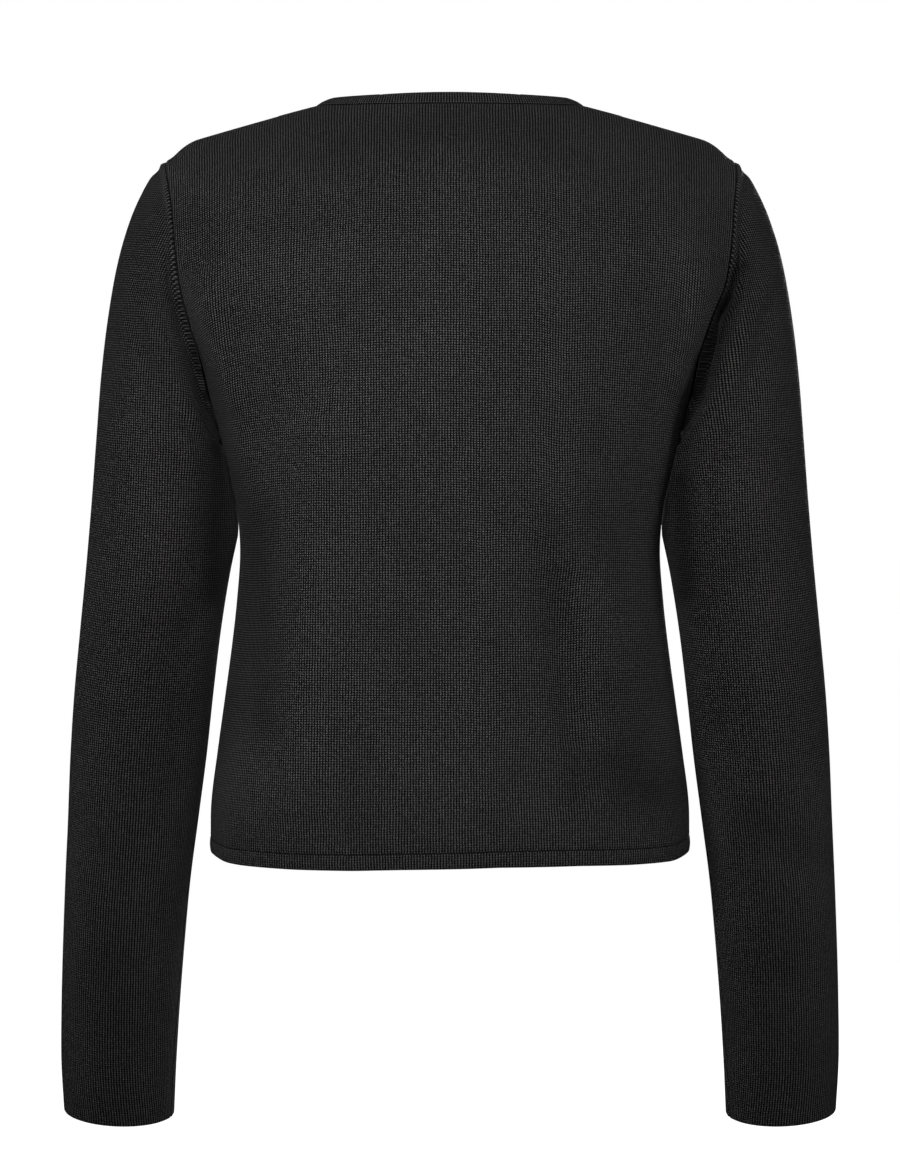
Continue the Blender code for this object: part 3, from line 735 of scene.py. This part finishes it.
# %% The surface of a sleeve
SLEEVE_ROWS = 190
SLEEVE_COLUMNS = 92
SEAM_DRIFT = 14.0
UNDERARM_PRESS = 2.4
PRESS_EASES = (-210.0, -220.0)
FOLDS_START = 0.3


def body_side_x(y, z):
    """Half width of the body at a depth."""
    half_width, back, front, roundness = row_at(BODY_SECTIONS, z)
    share = np.minimum(np.abs(y) / np.where(y < 0.0, back, front), 1.0)
    return half_width * np.sqrt(1.0 - share ** (2.0 / roundness))


def armhole_loop(hand, angle):
    """The armhole seam: angle 0 is the shoulder point, then the back, the underarm, the front."""
    z = UNDERARM - (SHOULDER_DROP + UNDERARM) * (1.0 + np.cos(angle)) / 2.0
    back = body_point("back", hand * armhole_x("back", hand, z), z)
    front = body_point("front", hand * armhole_x("front", hand, z), z)
    return np.where(np.sin(angle)[..., None] >= 0.0, back, front)


def sleeve_oval(hand, angle, ring):
    """A sleeve before it is fitted to the armhole."""
    outer_x, outer_z, inner_x, inner_z, middle_y, half_depth = row_at(RINGS, ring)
    out = (1.0 + np.cos(angle)) / 2.0
    pitch = CUFF_PITCH * soft_step(ring, ELBOW_START, ELBOW_END)
    back = half_depth * np.sin(angle)
    x = inner_x + (outer_x - inner_x) * out
    y = middle_y - back * np.cos(pitch)
    z = inner_z + (outer_z - inner_z) * out - back * np.sin(pitch)
    leaving = soft_step(z, *PRESS_EASES)
    clear = SLEEVE_CLEAR * leaving - UNDERARM_PRESS * (1.0 - leaving)
    x = np.where(z < UNDERARM, np.maximum(x, body_side_x(y, z) + clear), x)
    return np.stack((hand * x, y, z), axis=-1)


def sleeve_surface(hand, word):
    """Points of a sleeve from its cuff up to the armhole, round from the underarm seam."""
    last = len(RINGS) - 1.0
    ring = (last * (1.0 - with_fine_ends(SLEEVE_ROWS)))[:, None]
    seam = math.pi - math.radians(SEAM_DRIFT) * soft_step(ring, ELBOW_START, last)
    angle = seam - hand * 2.0 * math.pi * with_fine_ends(SLEEVE_COLUMNS)[None, :]
    ring = ring + 0.0 * angle
    fit = armhole_loop(hand, angle) - sleeve_oval(hand, angle, 0.0 * ring)
    settle = 1.0 - soft_step(ring, 0.0, ARMHOLE_SETTLES)
    surface = sleeve_oval(hand, angle, ring) + settle[..., None] * fit
    rows = [(a1 * GIRTH_PER_DEGREE, b1 * RING_LENGTH, a2 * GIRTH_PER_DEGREE, b2 * RING_LENGTH, *rest)
            for side, a1, b1, a2, b2, *rest in SLEEVE_FOLDS if side in (word, "both")]
    degrees = np.degrees(angle) % 360.0
    lift = folds_at(degrees * GIRTH_PER_DEGREE, ring * RING_LENGTH, rows)
    return surface, lift * soft_step(ring, 0.0, FOLDS_START)


print("a sleeve has", SLEEVE_ROWS, "rows of", SLEEVE_COLUMNS)

# %% The two sleeves
UNDERARM_SEAM = 0.6
TUCK = 4.2
TUCK_WIDTH = 0.8
TUCK_STARTS = (-60.0, -110.0)
TUCK_SINK = 0.5
TUCK_SINKS_ABOVE = (-203.0, -190.0)
for hand, word in ((-1, "left"), (1, "right")):
    surface, lift = sleeve_surface(hand, word)
    u, v = rib_map(surface, surface.shape[1] // 2)
    edges = edge_distances(surface)
    underarm = np.minimum(edges["left"], edges["right"])
    ridge = head_relief(edges["top"]) * soft_step(surface[..., 2], *HEAD_RIDGE_ENDS)
    relief = lift + ridge + seam_relief(edges["top"]) + UNDERARM_SEAM * seam_relief(underarm)
    relief = relief + edge_relief(edges["bottom"])
    tuck = TUCK * (1.0 - soft_step(edges["top"], 0.0, TUCK_WIDTH))
    tuck = tuck * soft_step(surface[..., 2], *TUCK_STARTS)
    sunk = TUCK_SINK * tuck * soft_step(surface[..., 2], *TUCK_SINKS_ABOVE)
    out, along = outward(surface, closed=True), unit(slopes(surface, closed=True)[1])
    surface = rounded_tips(surface + (relief - sunk)[..., None] * out + tuck[..., None] * along)
    name, painted_shading = "sleeve_" + word, painted_shading_at((word,), surface)
    distance = np.minimum(edges["top"], underarm / QUIET_SEAM)
    piece = grid_piece(name + "_cloth", surface, u, v, distance, painted_shading, closed=True)
    pieces[name] = thicken(piece, CLOTH)

# %% [markdown]
# ## The bands
#
# The neck, the front edges and the hem are finished with a narrow tubular band: a strip knitted
# round, pressed flat and sewn on along one edge. Its cut has the shape of a long loop, so each band
# is a grid that closes round that loop and follows the edge it is sewn to.

# %% The loop of a band
BAND_RAISE = 0.3
BAND_BULGE = 0.35
LOOP_SIDE = 7
LOOP_END = 6


def band_loop(height):
    """The cut through a band: how far up it and how far out of it each point lies."""
    radius = BAND_CLOTH / 2.0
    side = np.linspace(0.0, 1.0, LOOP_SIDE)
    turn = np.linspace(math.pi / 2, -math.pi / 2, LOOP_END + 1)[1:-1]
    straight = height - radius
    up = np.concatenate((straight * side, straight + radius * np.cos(turn), straight * side[::-1]))
    bulge = BAND_BULGE * np.sin(math.pi * side)
    out = np.concatenate((radius + bulge, radius * np.sin(turn), -radius - 0.0 * side))
    out = out - radius + BAND_RAISE
    return np.append(up, up[0]), np.append(out, out[0])


def band_piece(name, foot, up, out, height, painted_shading=1.0):
    """A band along a seam line: up and out say which way it stands and which way it faces."""
    loop_up, loop_out = band_loop(float(np.mean(height)))
    scale = (height / np.mean(height))[:, None, None]
    grid = foot[:, None] + scale * loop_up[None, :, None] * up[:, None]
    grid = grid + loop_out[None, :, None] * out[:, None]
    u = running(steps_of(foot))
    v = running(np.hypot(np.diff(loop_up), np.diff(loop_out)))
    u, v = np.broadcast_arrays((u - u[-1] / 2)[:, None], v[None, :])
    distance = np.broadcast_to(loop_up[None, :] / QUIET_SEAM, u.shape)
    piece = grid_piece(name + "_cloth", grid, u, v, distance, np.full(u.shape, painted_shading), closed=True)
    edit_all(piece, (bpy.ops.mesh.fill_holes, {"sides": 0}),
             (bpy.ops.mesh.normals_make_consistent, {"inside": False}))
    return smoothed(piece)


print("a band's loop has", len(band_loop(BAND)[0]) - 1, "points")

# %% [markdown]
# The band round the hem follows the last rows of the panels, from one front edge round the back to
# the other. The path is a list of sides and distances from the middle. The hem band's colour is
# darkened with painted shade.

# %% The hem band
PATH_STEPS = 90
EDGES_MEET = 0.04
# Painted shade: the hem band's colour is darkened by this factor.
HEM_PAINTED_SHADE = 0.75


def round_body(front_start):
    """Shares of the half width from the right front edge round the back to the left one."""
    out = np.sin(np.linspace(0.0, 1.0, PATH_STEPS + 1) * math.pi / 2)
    front = front_start + (1.0 - front_start) * out
    return front, out


def along_hem(z):
    """A line round the body at a height."""
    edge = row_at(BODY_SECTIONS, np.array(z))[0]
    front, back = round_body(EDGES_MEET / edge)
    parts = (("front", front), ("back", back[-2::-1]), ("back", -back[1:-1]), ("front", -front[::-1]))
    return np.concatenate([body_point(side, shares * edge, z + 0.0 * shares) for side, shares in parts])


seam_line, hem_line = hanging(along_hem(HEM_SEAM)), hanging(along_hem(HEM))
down = hem_line - seam_line
band_out = unit(np.cross(np.gradient(seam_line, axis=0), unit(down)))
heights = np.linalg.norm(down, axis=-1)
pieces["hem_band"] = band_piece("hem_band", seam_line, unit(down), band_out, heights, HEM_PAINTED_SHADE)

# %% [markdown]
# The neckband stands up from the neckline and leans in towards the neck. Which way the cloth faces
# under it is found by taking two small steps on the body's surface.

# %% The neckband
NECKBAND_ENDS = 0.15
LEAN = {"back": math.radians(15), "front": math.radians(6)}
LEAN_SPREAD = 45
SLOPE_STEP = 0.3
ON_THE_CREST = 0.01


def cloth_outward(side, x, z):
    """Out of the garment at points of the body."""
    inwards = np.where(x > 0.0, -SLOPE_STEP, SLOPE_STEP)
    here = body_point(side, x, z)
    across = (body_point(side, x + inwards, z) - here) / inwards[:, None]
    up = here - body_point(side, x, z - SLOPE_STEP)
    normal = -FACING[side] * unit(np.cross(across, up))
    crest = unit(np.stack((np.copysign(SHOULDER_FALL, x), 0.0 * x, 1.0 + 0.0 * x), axis=-1))
    return np.where((shoulder_line(x) - z < ON_THE_CREST)[:, None], crest, normal)


front, back = round_body(NECKBAND_ENDS / NECK_HALF)
parts = (("front", front[:-1]), ("back", back[::-1]), ("back", -back[1:]), ("front", -front[-2::-1]))
foot, cloth_out, lean = [], [], []
for side, shares in parts:
    x = shares * NECK_HALF
    z = neckline_height(side, x)
    foot.append(body_point(side, x, z))
    cloth_out.append(cloth_outward(side, x, z))
    lean.append(np.full(len(x), LEAN[side]))
foot, cloth_out, lean = (np.concatenate(values) for values in (foot, cloth_out, lean))
cloth_up = unit(np.cross(np.gradient(foot, axis=0), cloth_out))
lean = np.pad(lean, LEAN_SPREAD // 2, mode="edge")
lean = np.convolve(lean, np.full(LEAN_SPREAD, 1 / LEAN_SPREAD), mode="valid")[:, None]
band_up = np.cos(lean) * cloth_up + np.sin(lean) * cloth_out
band_out = np.cos(lean) * cloth_out - np.sin(lean) * cloth_up
pieces["neckband"] = band_piece("neckband", foot, band_up, band_out, np.full(len(foot), BAND))

# %% [markdown]
# The same narrow band finishes both front edges. Nothing of it showed, so it has no buttons.

# %% The front bands
FRONT_BAND_STEPS = 130
FRONT_BAND_FOOT = BAND + 0.4
share = np.linspace(0.0, 1.0, FRONT_BAND_STEPS + 1)
for name, hand in (("front_band_left", -1), ("front_band_right", 1)):
    lines = []
    for x in (FRONT_BAND_FOOT, EDGES_MEET):
        top = float(neckline_height("front", np.array(x)))
        line = body_point("front", hand * x + 0.0 * share, HEM_SEAM + (top - HEM_SEAM) * share)
        lines.append(hanging(line))
    towards_middle = lines[1] - lines[0]
    band_out = hand * unit(np.cross(unit(towards_middle), np.gradient(lines[0], axis=0)))
    heights = np.linalg.norm(towards_middle, axis=-1)
    pieces[name] = band_piece(name, lines[0], unit(towards_middle), band_out, heights)

# %% [markdown]
# ## Handing the pieces to the frame
#
# Each piece stands for the solid of the same name, and goes with the one rigid body of the model.
# Each piece's measured area is printed beside the size it was cut to.
# A band is a tube pressed flat: its width counts what shows and the 1.5 mm that is sewn in.

# %% What each piece stands for
CUT = {
    # piece: slot, flat width and length in metres, share of that rectangle that the cut fills
    "back": ("panel_knit", 0.45, 0.54, 0.81),
    "front_left": ("panel_knit", 0.22, 0.52, 0.77),
    "front_right": ("panel_knit", 0.22, 0.52, 0.77),
    "sleeve_left": ("sleeve_knit", 0.36, 0.65, 0.67),
    "sleeve_right": ("sleeve_knit", 0.36, 0.65, 0.67),
    "neckband": ("band_knit", 0.57, 0.0105, 1.0),
    "hem_band": ("band_knit", 0.89, 0.011, 1.0),
    "front_band_left": ("band_knit", 0.40, 0.0105, 1.0),
    "front_band_right": ("band_knit", 0.40, 0.0105, 1.0),
}
for name, (slot, width, length, filled) in CUT.items():
    piece = pieces[name]
    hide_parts(name)
    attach(piece, "root")
    cut, measured = width * length * filled, sum(face.area for face in piece.data.polygons) / 2
    print(name, "measures", round(measured, 4), "m2; cut", round(cut, 4))

# %% [markdown]
# ## The knit
#
# A dense double knit is a field of ribs. Each rib is a column of loops, 1.75 mm from the next, and
# each loop is 1.5 mm tall. Only the tops of the loops catch the light: the hollows between them
# stay almost black. The gaps between the loops are open over most of the body and the arms, but near
# the neck, the hem and the cuffs the knit is stretched and only its ribs show. We could model every
# loop, but there are over two hundred thousand of them. Instead the map that each piece carries is
# turned into a small relief, and the same relief is painted into the colour: painted light on the
# tops of the loops and painted shade in the hollows.
#
# To keep the sums readable, a value that runs through the nodes is wrapped, so that + and * on it
# add the Math nodes for us.


# %% Sums on node values
class Value:
    """A number that varies over a surface."""

    def __init__(self, recipe, socket):
        self.recipe = recipe
        self.socket = socket

    def do(self, operation, *others):
        sockets = dict(enumerate((self,) + others))
        return self.recipe.add("ShaderNodeMath", {"operation": operation}, sockets)

    def wave(self):
        """1 at each whole number and 0 halfway between two."""
        return (self * (2.0 * math.pi)).do("COSINE") * 0.5 + 0.5

    def spread(self, low, high):
        """The value low where this one is 0, and high where it is 1."""
        return self * (high - low) + low

    def __add__(self, other):
        return self.do("ADD", other)

    def __mul__(self, other):
        return self.do("MULTIPLY", other)

    def __sub__(self, other):
        return self.do("SUBTRACT", other)

    def __rsub__(self, other):
        return (self * -1.0) + other

    def __pow__(self, other):
        return self.do("POWER", other)

    __radd__ = __add__
    __rmul__ = __mul__


class Recipe:
    """A material that is built up node by node."""

    FIRST_COLOUR, SECOND_COLOUR, MIXED_COLOUR = 6, 7, 2

    def __init__(self, name):
        self.material = bpy.data.materials.new(name)
        self.material.use_nodes = True
        self.nodes = self.material.node_tree.nodes
        self.surface = self.nodes["Principled BSDF"]

    def add(self, kind, settings=None, sockets=None, output=0):
        """Adds a node: its settings first, then values or links for its sockets."""
        node = self.nodes.new(kind)
        for key, setting in (settings or {}).items():
            setattr(node, key, setting)
        self.join(node, sockets or {})
        return Value(self, node.outputs[output])

    def join(self, node, sockets):
        for key, value in sockets.items():
            if isinstance(value, Value):
                self.material.node_tree.links.new(value.socket, node.inputs[key])
            else:
                node.inputs[key].default_value = value

    def part(self, vector, axis):
        """One of the three numbers of a vector."""
        return self.add("ShaderNodeSeparateXYZ", sockets={"Vector": vector}, output=axis)

    def noise(self, place, scale, detail):
        """Soft noise; a larger scale is finer."""
        sockets = {"Vector": place, "Scale": scale, "Detail": detail}
        return self.add("ShaderNodeTexNoise", sockets=sockets)

    def written(self, word):
        """A value that is written on the points of a piece."""
        return self.add("ShaderNodeAttribute", {"attribute_name": word}, output=2)

    def colour(self, mask, low, high):
        """A colour between two others."""
        sockets = {"Factor": mask, self.FIRST_COLOUR: (*low, 1.0), self.SECOND_COLOUR: (*high, 1.0)}
        return self.add("ShaderNodeMix", {"data_type": "RGBA"}, sockets, self.MIXED_COLOUR)

    def band(self, value, start, end):
        """0 below start, 1 above end, soft between."""
        sockets = {"Value": value, "From Min": start, "From Max": end}
        return self.add("ShaderNodeMapRange", {"interpolation_type": "SMOOTHSTEP"}, sockets)


print("a node value can be added, multiplied and raised")

# %% [markdown]
# The relief is the ribs times the loops. The colour is the relief again, as painted light on the
# tops and painted shade in the hollows, made uneven in three ways: from loop to loop, in patches as
# wide as a finger, and by a fine fuzz. Beside a seam the loops get a little more painted light, as a
# chain of pulled stitches does, and on the seam itself painted shade. All lengths from here on are in
# metres.

# %% Sizes of the knit
RIB = 0.00175
LOOP = 0.0015
LEG_SLANT = 0.3
RIB_WANDER = 0.5
LOOP_WANDER = 0.6
WANDER_GRAIN = (90.0, 2.0)
PATCH_GRAIN = (22.0, 3.0)
FUZZ_GRAIN = (1400.0, 1.0)
RIB_RANGE = (0.1, 1.0)
GAP_RANGE = (0.42, 0.77)
LOOP_RANGE = (0.78, 1.23)
PATCH_RANGE = (0.8, 1.2)
SEAM_SHADE_RANGE = (0.2, 1.0)
FUZZ_RANGE = (-0.1, 0.1)
GAPS_OPEN_LOW = (-0.47, -0.38)
GAPS_CLOSE_HIGH = (-0.09, -0.04)
SEAM_SHADE = (0.0003, 0.0012)
CHAIN_STARTS = (0.0008, 0.0013)
CHAIN_ENDS_LOW = (-0.135, -0.115)
CHAIN_SOFT_END = 1.5
CHAIN_PAINTED_LIGHT = 0.5
SHARPNESS = 2.0
RELIEF = 0.0005
RELIEF_STRENGTH = 0.8
FUZZ_RELIEF = 0.15
YARN = {"Roughness": 0.8, "Specular IOR Level": 0.03, "Sheen Weight": 0.03, "Sheen Roughness": 0.5}
print("loops in 10 mm of rib:", round(0.01 / LOOP, 1))


# %% The knit's relief
def knit(name, hollow_shade_colour, light, rib_depth, chain_end):
    """Double knit: ribs of slanting loops, worn uneven, with painted light on the tops and painted
    shade in the hollows and the seams.
    """
    recipe = Recipe(name)
    place = recipe.add("ShaderNodeUVMap", {"uv_map": "UVMap"})
    spot = recipe.add("ShaderNodeTexCoord", output=3)
    u, v, height = recipe.part(place, 0), recipe.part(place, 1), recipe.part(spot, 2)
    seam, painted_shading = recipe.written("seam"), recipe.written("painted_shading")
    wander = recipe.noise(spot, *WANDER_GRAIN)
    ribs = u * (1.0 / RIB) + wander * RIB_WANDER
    slant = (ribs.do("FRACT") - 0.5).do("ABSOLUTE") * LEG_SLANT
    loops = v * (1.0 / LOOP) + slant + wander * LOOP_WANDER
    open_knit = recipe.band(height, *GAPS_OPEN_LOW) * (1.0 - recipe.band(height, *GAPS_CLOSE_HIGH))
    gaps = open_knit.spread(*GAP_RANGE)
    relief = (ribs.wave().spread(*RIB_RANGE) * (1.0 - gaps + gaps * loops.wave())) ** SHARPNESS
    stitch = recipe.add("ShaderNodeCombineXYZ", sockets={
        "X": (ribs + 0.5).do("FLOOR"), "Y": (loops + 0.5).do("FLOOR")})
    chance = recipe.add("ShaderNodeTexWhiteNoise", sockets={"Vector": stitch})
    patches, fuzz = recipe.noise(spot, *PATCH_GRAIN), recipe.noise(spot, *FUZZ_GRAIN)
    # Close to a seam the colour is darkened: painted shade in the seam's groove.
    clear_of_seam = recipe.band(seam, *SEAM_SHADE)
    # The chain of pulled stitches beside a seam gets painted light.
    chain = recipe.band(seam, *CHAIN_STARTS) * recipe.band(height, *CHAIN_ENDS_LOW)
    chain = chain * (1.0 - recipe.band(seam, chain_end, chain_end * CHAIN_SOFT_END))
    # The relief paints light on the loop tops and shade in the hollows; chance, patches and fuzz are
    # the yarn's own uneven tone.
    painted_relief_and_tone = relief * chance.spread(*LOOP_RANGE) + fuzz.spread(*FUZZ_RANGE)
    tone_and_painted_light = painted_relief_and_tone * patches.spread(*PATCH_RANGE) * clear_of_seam.spread(*SEAM_SHADE_RANGE)
    # The strokes' painted light and shade multiply the colour here.
    tone_and_painted_light = ((tone_and_painted_light + chain * relief * CHAIN_PAINTED_LIGHT) * painted_shading).do("MAXIMUM", 0.0)
    height_of_yarn = relief * clear_of_seam + fuzz * FUZZ_RELIEF
    normal = recipe.add("ShaderNodeBump", sockets={
        "Strength": RELIEF_STRENGTH, "Distance": RELIEF * rib_depth, "Height": height_of_yarn})
    recipe.join(recipe.surface, {
        "Base Color": recipe.colour(tone_and_painted_light, hollow_shade_colour, light), "Normal": normal, **YARN})
    return recipe.material


LOOKS = {
    # slot: painted shade in the hollows, colour of the tops with painted light, depth of the ribs,
    # where the chain ends
    "panel_knit": ((0.0012, 0.0012, 0.0012), (0.125, 0.123, 0.125), 1.0, 0.0018),
    "sleeve_knit": ((0.0012, 0.0011, 0.0011), (0.114, 0.110, 0.110), 1.0, 0.0045),
    "band_knit": ((0.0012, 0.0012, 0.0012), (0.105, 0.105, 0.105), 1.2, 0.0018),
}
FINISH = {slot: knit(slot, *look) for slot, look in LOOKS.items()}
for name, (slot, *_) in CUT.items():
    pieces[name].data.materials.clear()
    pieces[name].data.materials.append(FINISH[slot])
print("finishes:", ", ".join(FINISH))

# %% [markdown]
# ## The studio
#
# Dark knit on white needs one soft light that stands close before the back, a little to the left and
# at the height of the shoulder blades: it lights them best, and lets the hem and the cuffs fall
# darker. Two at the sides draw the outer edges of the sleeves, and a fourth lights the front for
# whoever walks round the jacket. The floor and the paper round the jacket are plain and pale. If
# they were left to light the knit as well, every edge would glow, so only the camera sees them, and
# the world fills in.

# %% Floor and paper
FLOOR_BELOW = 0.12
PAPER_AWAY = 20.0
WHITE = (1.0, 1.0, 1.0, 1.0)


def paper(name, shade):
    """White studio paper."""
    recipe = Recipe(name)
    recipe.join(recipe.surface, {
        "Base Color": (shade, shade, shade, 1.0), "Roughness": 0.9,
        "Emission Color": WHITE, "Emission Strength": 1.0})
    return recipe.material


floor_height = cad_box[0][2] - FLOOR_BELOW
bpy.ops.object.select_all(action="DESELECT")
bpy.ops.mesh.primitive_circle_add(
    vertices=96, radius=PAPER_AWAY, fill_type="NGON", location=(0.0, 0.0, floor_height))
floor = bpy.context.object
floor.name = "floor"
floor.data.materials.append(paper("floor_paper", 0.1))
bpy.ops.mesh.primitive_uv_sphere_add(segments=48, ring_count=24, radius=PAPER_AWAY)
backdrop = bpy.context.object
backdrop.name = "backdrop"
backdrop.data.materials.append(paper("backdrop_paper", 0.0))
print("floor at", round(floor_height, 3), "m")
for screen in (floor, backdrop):
    screen.visible_diffuse = screen.visible_glossy = screen.visible_shadow = False

# %% Lights and world
bpy.context.scene.view_settings.view_transform = "Standard"
WORLD_STRENGTH = 0.02
AIMED_AT = (0.0, 0.0, -0.3)
LIGHTS = (
    # name, place, width, height, power
    ("key", (-0.12, -0.75, -0.12), 0.5, 0.3, 5.9),
    ("right_side", (1.1, -0.35, -0.2), 0.3, 0.7, 3.8),
    ("left_side", (-1.7, 0.0, -0.3), 0.5, 0.9, 4.5),
    ("front_fill", (0.3, 1.3, 0.1), 1.0, 0.6, 26.0),
)
for name, place, width, height, power in LIGHTS:
    light = bpy.data.lights.new(name, "AREA")
    light.shape = "RECTANGLE"
    light.size, light.size_y, light.energy = width, height, power
    lamp = bpy.data.objects.new(name, light)
    away = [place[axis] - AIMED_AT[axis] for axis in range(3)]
    tilt, turn = math.acos(away[2] / math.hypot(*away)), math.atan2(away[0], -away[1])
    lamp.location = place
    lamp.rotation_euler = (tilt, 0.0, turn)
    lamp.visible_camera = False
    bpy.context.scene.collection.objects.link(lamp)
world = bpy.data.worlds.new("studio")
world.use_nodes = True
background = world.node_tree.nodes["Background"]
background.inputs["Color"].default_value = WHITE
background.inputs["Strength"].default_value = WORLD_STRENGTH
bpy.context.scene.world = world
print(len(LIGHTS), "lights")
